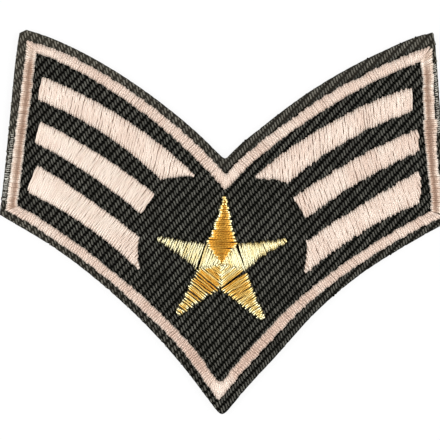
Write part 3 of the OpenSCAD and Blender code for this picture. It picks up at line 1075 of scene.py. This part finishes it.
top_thread_shade = cored(*TOP_PAINTED_SHADE, 0.0, RUN_FADE)
for wing, side_name, seed in ((LEFT, "left", 21), (RIGHT, "right", 22)):
    draw = random.Random(seed)
    outer_corner = side_corner(RUN_SIDE_OUTER, RUN_TOP_OUTER)
    inner_corner = side_corner(RUN_SIDE_INNER, RUN_TOP_INNER)
    top_outer, top_inner = curved_run(
        "top", wing, RUN_TOP_OUTER, RUN_TOP_INNER, outer_corner[0], inner_corner[0],
        BORDER_SPACING, 1, (0, 0))
    satin("satin_border_top_" + side_name, "border_top_" + side_name,
          [spiky(placed(top_inner, wing, RUN_SHIFT), placed(top_outer, wing, RUN_SHIFT), draw,
                 RUN_UNEVEN)],
          cream_thread, shaded_cream_padding, seed, top_thread_shade, RUN_HALF_WIDTH, wander=RUN_WANDER)

    corners = [placed(corner, wing, RUN_SHIFT) for corner in (outer_corner, inner_corner)]
    feet = [
        low_corner(RUN_SIDE_OUTER, RUN_BOTTOM_OUTER, wing),
        low_corner(RUN_SIDE_INNER, RUN_BOTTOM_INNER, wing),
    ]
    up = (corners[0] - feet[0]) / np.linalg.norm(corners[0] - feet[0])
    away = np.array([up[1], -up[0]]) * wing
    lows = [float(foot @ up) for foot in feet]
    highs = [float(corner @ up) for corner in corners]
    # The upper left corner is worked a little low, more at its outer edge than at its inner one.
    if wing == LEFT:
        highs = [high - sag for high, sag in zip(highs, SAGGED_CORNER)]
    count = round((highs[0] - lows[0]) / SIDE_SPACING)
    side_edges = []
    for foot, low, along_run, stray in zip(
            feet, lows, fanned(lows, highs, count, SIDE_FAN), strayed("side", wing, count)):
        side_edges.append(foot + (along_run - low)[:, None] * up + stray[:, None] * away)
    satin("satin_border_side_" + side_name, "border_side_" + side_name,
          [spiky(side_edges[1], side_edges[0], draw, SIDE_UNEVEN)],
          shaded_side_thread, shaded_cream_padding, seed + 10, side_thread_shade, SIDE_HALF_WIDTH, wander=RUN_WANDER)

    bottom_outer, bottom_inner = curved_run(
        "bottom", wing, RUN_BOTTOM_OUTER, RUN_BOTTOM_INNER, abs(feet[0][0] - LOWER_SHIFT),
        abs(feet[1][0] - LOWER_SHIFT), BORDER_SPACING, -1, (OUTER_BLUNT, INNER_BLUNT))
    satin("satin_border_bottom_" + side_name, "border_bottom_" + side_name,
          [spiky(placed(bottom_outer, wing, LOWER_SHIFT, 0), placed(bottom_inner, wing, LOWER_SHIFT, 0),
                 draw, RUN_UNEVEN)],
          cream_thread, shaded_cream_padding, seed + 20, bottom_thread_shade, RUN_HALF_WIDTH,
          wander=RUN_WANDER)

# Outside the side runs the hot knife left short ends of cut yarn. They lie side by side on the
# cloth, point outwards and are paler than it.
YARN_ENDS = [
    # wing, upper and lower end of the row in millimetres, length, rise in degrees, tone
    (LEFT, 16.5, 13.5, 0.75, 2, 0.15),
    (LEFT, 13.5, 8.5, 0.80, 0, 0.5),
    (LEFT, 8.5, 3.0, 0.95, 4, 1.0),
    (RIGHT, 32.5, 26.0, 0.75, 20, 1.0),
    (RIGHT, 26.0, 19.0, 0.70, 15, 0.8),
]
YARN_END_PITCH = 0.40
YARN_END_WIDTH = 0.11
YARN_END_RISE = 0.2
YARN_END_BASE = 1.2
YARN_END_GAP = 0.15
YARN_END_TURN = 5
YARN_END_LENGTHS = (0.8, 1.15)
YARN_END_TONES = (0.7, 1.0)
YARN_END_HAZE = 0.3

draw = random.Random(61)
end_grains = ([], [], [])
for wing, upper_y, lower_y, length, rise, pale in YARN_ENDS:
    for k in range(round((upper_y - lower_y) / YARN_END_PITCH)):
        y = upper_y - (k + 0.5) * YARN_END_PITCH
        root = placed(side_point(RUN_SIDE_OUTER, y), wing, RUN_SHIFT)
        angle = math.radians(rise + draw.gauss(0, YARN_END_TURN))
        along = np.array([wing * math.cos(angle), math.sin(angle)])
        reach = length * draw.uniform(*YARN_END_LENGTHS) / 2
        add_grain(
            end_grains, root + along * (YARN_END_GAP + reach), along,
            (reach, YARN_END_WIDTH, YARN_END_RISE), YARN_END_BASE, SMALL_GRID,
            pale * draw.uniform(*YARN_END_TONES), YARN_END_HAZE, shaded_ends=False)
cut_yarn_ends = grain_piece(
    "cut_yarn_ends", end_grains, dark=(0.08, 0.078, 0.07), light=(0.95, 0.93, 0.84),
    roughness=0.5, specular=0.3)

# The bars are wide columns of the same satin stitch. Their inner ends follow round lobes that
# leave the ground bare round the star, and their threads lean towards the middle.
UPPER_SHIFT = -0.25
BARS = {
    # upper edge and lower edge (at the centre line, 40 mm out, radius), lobe at the inner end
    # (x, y, radius), nearest place to the centre line
    "upper": ((3.1, 29, 91), (-7.5, 24.15, 73.5), (7, -9.5, 18.4), 4),
    "middle": ((-7.3, 20.3, 121), (-15.7, 15.7, 106), (4.3, -3.9, 13.1), 8),
    "lower": ((-17.2, 11.8, 237), (-32.2, 5.2, 80), (4.6, -6.1, 12.4), 12),
}
BAR_SIDES = {
    # lean of the threads at the inner end, in the middle and at the outer end, lean of the outer
    # end itself, all in degrees, its gap to the side run's inner edge, how ragged it is, how strong
    # the painted shade (tan) in the middle of the threads is, half a thread's width
    ("upper", LEFT): (12, 10, 9, 12, 1.8, 0.08, 0.14, 0.27),
    ("upper", RIGHT): (5, 8, 3, RUN_LEAN, 1.95, 0.08, 0.30, 0.255),
    ("middle", LEFT): (34, 28, 14, 14, 2.2, 0.08, 0.14, 0.295),
    ("middle", RIGHT): (20, 15, 16, RUN_LEAN, 1.65, 0.30, 0.28, 0.265),
    ("lower", LEFT): (35, 36, 20, 17, 2.5, 0.08, 0.06, 0.295),
    ("lower", RIGHT): (25, 19, 22, 0, 1.7, 0.20, 0.28, 0.275),
}
BAR_UNEVEN = {LEFT: 0.12, RIGHT: 0.22}
BAR_END_PLACE = 38.0
BAR_SPACING = 0.49
BAR_SHORTEST = 0.4
BAR_REACH = 14
BAR_STEP = 0.02
BAR_PAST_END = 6
BAR_WANDER = 0.065
BAR_SPREAD = (0.92, 1.08)
BAR_FADE = 1.0
LEAN_STRAY = 0.3
LEAN_FROM = 12
FAN_REACH = 7.0


def bar_stitches(bar, leans, end_lean, end_gap, ragged, draw):
    """Threads side by side along leaning lines, cut off where they leave the bar's outline."""
    upper = curve(*bar[0])
    lower = curve(*bar[1])
    lobe, nearest = bar[2:]
    end_y = (height(upper, BAR_END_PLACE) + height(lower, BAR_END_PLACE)) / 2
    end_x = side_point((RUN_SIDE_INNER[0] - end_gap, RUN_LEAN), end_y)[0]
    end_slope = math.tan(math.radians(end_lean))
    reach = np.arange(-BAR_REACH, BAR_REACH, BAR_STEP)
    places = (LEAN_FROM, end_x - FAN_REACH, end_x)
    stitches = []
    x = nearest
    while x < end_x + BAR_PAST_END:
        lean = math.radians(np.interp(x, places, leans) + draw.gauss(0, LEAN_STRAY))
        tall = height(upper, x) - height(lower, x)
        fan = abs(np.interp(x + 0.5, places, leans) - np.interp(x - 0.5, places, leans))
        middle = np.array([x, (height(upper, x) + height(lower, x)) / 2])
        line = middle + reach[:, None] * [-math.sin(lean), math.cos(lean)]
        end = end_x + draw.uniform(-ragged, ragged)
        inside = (
            (line[:, 1] < height(upper, line[:, 0]))
            & (line[:, 1] > height(lower, line[:, 0]))
            & (line[:, 0] < end - (line[:, 1] - end_y) * end_slope)
            & (np.hypot(line[:, 0] - lobe[0], line[:, 1] - lobe[1]) > lobe[2])
            & (line[:, 0] > nearest)
        )
        edges = np.flatnonzero(np.diff(np.concatenate([[0], inside.astype(int), [0]])))
        for first, last in zip(edges[::2], edges[1::2]):
            if (last - first) * BAR_STEP > BAR_SHORTEST:
                stitches.append((line[first], line[last - 1]))
        slope = (height(upper, x + 0.1) - height(upper, x)) / 0.1
        gap = BAR_SPACING * draw.uniform(*BAR_SPREAD) / (1 + math.radians(fan) * tall / 2)
        x += gap / (math.cos(lean) + slope * math.sin(lean))
    return stitches


for number, (bar_name, bar) in enumerate(BARS.items()):
    for wing, side_name in ((LEFT, "left"), (RIGHT, "right")):
        draw = random.Random(40 + number)
        # tan: how strong the painted shade is in the middle of this bar's threads.
        *leans, end_lean, end_gap, ragged, tan, half_width = BAR_SIDES[bar_name, wing]
        rows = bar_stitches(bar, leans, end_lean, end_gap, ragged, draw)
        starts = placed([start for start, _ in rows], wing, UPPER_SHIFT)
        ends = placed([end for _, end in rows], wing, UPPER_SHIFT)
        name = f"bar_{bar_name}_{side_name}"
        satin("satin_" + name, name,
              [spiky(starts, ends, draw, BAR_UNEVEN[wing])],
              cream_thread, shaded_cream_padding, 50 + number * 2 + wing, cored(0.0, tan, 0.0, BAR_FADE),
              half_width, wander=BAR_WANDER)

# The star is worked in gold thread: a thin metal film wound round a core. Each arm is a kite of
# stitches laid across it. Some arms part at the waist, and the cloth shows through the slit.
STAR_CENTRE = np.array([-0.1, -8.4])
STAR_WAIST = 5.0
STAR_TIP = 0.5
INNER_SPACING = 0.38
TUCKED = 0.33
ARM_ROWS = {
    # direction and reach of the tip, directions of the inner corners on the clockwise and on the
    # other side, widths of the slit at those corners, how far those sides of the arm curve in,
    # spacing of the threads, its unevenness, and half a thread's width
    "top": (88.7, 13.4, 52.5, 129.5, 0.0, 0.0, 0.25, 0.40, 0.41, 0.05, 0.275),
    "left": (160, 13.8, 129.5, 195, 0.24, 0.34, 0.0, 0.25, 0.46, 0.16, 0.182),
    "right": (21.0, 13.7, -16, 52.5, 0.05, 0.75, 0.45, 0.10, 0.46, 0.12, 0.240),
    "lower_left": (230.5, 13.4, 195, 269, 0.0, 0.0, 0.0, 0.05, 0.48, 0.32, 0.210),
    "lower_right": (308.5, 13.9, 269, 344, 0.14, 0.62, 0.0, 0.10, 0.44, 0.14, 0.235),
}
ARM_SHADES = {
    # painted-shade amber in the middle of the threads at the centre, at the waist and at the tip,
    # amber at their ends, length of the painted-highlight ends in millimetres, how much the threads
    # differ in shade
    "top": (0.9, 1.0, 0.85, 0.0, 0.36, 0.08),
    "left": (0.10, 0.12, 0.0, 0.0, 0.5, 0.15),
    "right": (0.15, -0.1, -0.1, 0.0, 0.5, 0.12),
    "lower_left": (0.6, 0.9, 0.35, 0.05, 0.45, 0.40),
    "lower_right": (0.05, 0.45, 0.3, 0.0, 0.5, 0.25),
}
LIT_SWAY = 0.12
LIT_PACE = 500
LIT_FADE = 0.4
ARM_SHORTEST = 0.3
ARM_UNEVEN = 0.24
ARM_SKEW = 0.06
ARM_HALF_THICK = 0.13


def heading(degrees):
    return np.array([math.cos(math.radians(degrees)), math.sin(math.radians(degrees))])


def arm_stitches(row, draw):
    """Threads across one arm: those from the centre out to the waist, then those to the tip."""
    direction, reach, clockwise, other, slit_a, slit_b, hollow_a, hollow_b, spacing, uneven, _ = row
    tip = heading(direction) * reach
    side = np.array([-tip[1], tip[0]]) / reach * STAR_TIP
    corners = (heading(clockwise) * STAR_WAIST, heading(other) * STAR_WAIST)
    waist = np.linalg.norm((corners[0] + corners[1]) / 2)
    beds = []
    for inner in (True, False):
        far = (np.zeros(2), np.zeros(2)) if inner else (tip - side, tip + side)
        length = waist if inner else reach - waist
        count = round(length / (INNER_SPACING if inner else spacing))
        order = reversed(range(count)) if inner else range(count)
        bed = []
        out = heading(direction) * (-1 if inner else 1)
        for k in order:
            share = (k + 0.5 + draw.uniform(-uneven, uneven)) / count
            open_by = (1 - share) ** 2 / 2
            a = corners[0] + (far[0] - corners[0]) * share + out * slit_a * open_by
            b = corners[1] + (far[1] - corners[1]) * share + out * slit_b * open_by
            inwards = (b - a) / np.linalg.norm(b - a)
            if inner:
                a = a - inwards * TUCKED * share
                b = b + inwards * TUCKED * share
            else:
                bow = 4 * share * (1 - share)
                a = a + inwards * hollow_a * bow
                b = b - inwards * hollow_b * bow
            if np.linalg.norm(b - a) > ARM_SHORTEST:
                bed.append((a, b))
        beds.append(bed)
    return beds


def amber_shade_at(shades, waist_share):
    """How amber a thread is painted, as painted shade: by its place from the centre to the tip, and
    along its length, where its lemon ends are painted highlight.
    """
    at_centre, at_waist, at_tip, at_ends, lit_end, _ = shades

    def shade_at(share, place, length):
        middle = np.interp(share, (0, waist_share, 1), (at_centre, at_waist, at_tip))
        lit = lit_end + LIT_SWAY * math.sin(share * LIT_PACE)
        return cored(at_ends, middle, lit, LIT_FADE)(share, place, length)

    return shade_at


# Lemon and amber are the one gold thread lit and in shade: lemon is painted highlight and amber painted
# shade, set per arm and along each thread.
LIT_LEMON = (0.93, 0.88, 0.57)
SHADED_AMBER = (0.64, 0.29, 0.035)
GROOVE_SHADE_BROWN = (0.40, 0.22, 0.03)
gold_thread = thread_material(
    "gold_thread", LIT_LEMON, SHADED_AMBER, GROOVE_SHADE_BROWN, twist=0.3, bump=0.6, roughness=0.3, metallic=1.0)
# The padding under the gold threads is dark brown: painted shade in the gaps between them.
shaded_star_padding = thread_material(
    "shaded_star_padding", light=(0.05, 0.03, 0.01), dark=(0.03, 0.018, 0.005), groove_shade=(0.05, 0.03, 0.01),
    twist=0.3, roughness=0.6, metallic=0.0, specular=0.3)
for number, (arm, row) in enumerate(ARM_ROWS.items()):
    draw = random.Random(70 + number)
    beds = []
    for bed in arm_stitches(row, draw):
        starts = placed([STAR_CENTRE + start for start, _ in bed], RIGHT, UPPER_SHIFT)
        ends = placed([STAR_CENTRE + end for _, end in bed], RIGHT, UPPER_SHIFT)
        beds.append(spiky(starts, ends, draw, ARM_UNEVEN, ARM_SKEW))
    waist_share = len(beds[0]) / (len(beds[0]) + len(beds[1]))
    satin("gold_star_" + arm, "star_arm_" + arm, beds, gold_thread, shaded_star_padding,
          80 + number, amber_shade_at(ARM_SHADES[arm], waist_share), row[-1], ARM_HALF_THICK,
          tones=ARM_SHADES[arm][-1])

# The back is a film of heat-set glue, milky and glossy. The stitches that come through to the
# back press into it and show as low ridges.
FILM_RINGS = [
    # inset from the cut, height above the table
    (0.3, CLOTH_BOTTOM),
    (0.3, 0.08),
    (0.6, 0.05),
]
RIDGE_ROOT = FILM_RINGS[-1][1] + 0.01
RIDGE_HALF = 0.2
RIDGE_CREST = 0.3
RIDGE_FACES = ((0, 4, 5, 1), (1, 5, 2), (2, 5, 4, 3), (3, 4, 0), (0, 1, 2, 3))
FILM_CLOUD_SCALE = 160
FILM_TINTS = ((0.50, 0.48, 0.43, 1), (0.66, 0.64, 0.60, 1))
FILM_ROUGHNESS = (0.18, 0.34)

film_points = []
for inset, z in FILM_RINGS:
    film_points += [(x, y, z) for x, y in cut_ring(inset)]
film_faces = [tuple(reversed(f)) for f in closed_rings(0, len(FILM_RINGS), len(cut_line))]
for start, end in all_stitches:
    along = (end - start) / np.linalg.norm(end - start)
    across = np.array([-along[1], along[0]]) * RIDGE_HALF
    middle = (start + end) / 2
    crest = (end - start) * RIDGE_CREST
    first = len(film_points)
    film_points += [(x, y, RIDGE_ROOT) for x, y in (start, middle - across, end, middle + across)]
    film_points += [(x, y, 0.0) for x, y in (middle - crest, middle + crest)]
    film_faces += [tuple(first + k for k in face) for face in RIDGE_FACES]
heat_seal_film = new_piece("heat_seal_film", film_points, film_faces)
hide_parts("adhesive_film")
film_milky, film_tree, film_shader = new_material("glue_film", {})
film_place = film_tree.nodes.new("ShaderNodeTexCoord")
film_clouds = film_tree.nodes.new("ShaderNodeTexNoise")
film_clouds.inputs["Scale"].default_value = FILM_CLOUD_SCALE
film_tree.links.new(film_place.outputs["Object"], film_clouds.inputs["Vector"])
film_tint = tinted(film_tree, film_clouds.outputs["Fac"], *FILM_TINTS)
film_tree.links.new(film_tint, film_shader.inputs["Base Color"])
film_rough = ranged(film_tree, film_clouds.outputs["Fac"], (0, 1), FILM_ROUGHNESS)
film_tree.links.new(film_rough, film_shader.inputs["Roughness"])
heat_seal_film.data.materials.append(film_milky)

low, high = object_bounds()
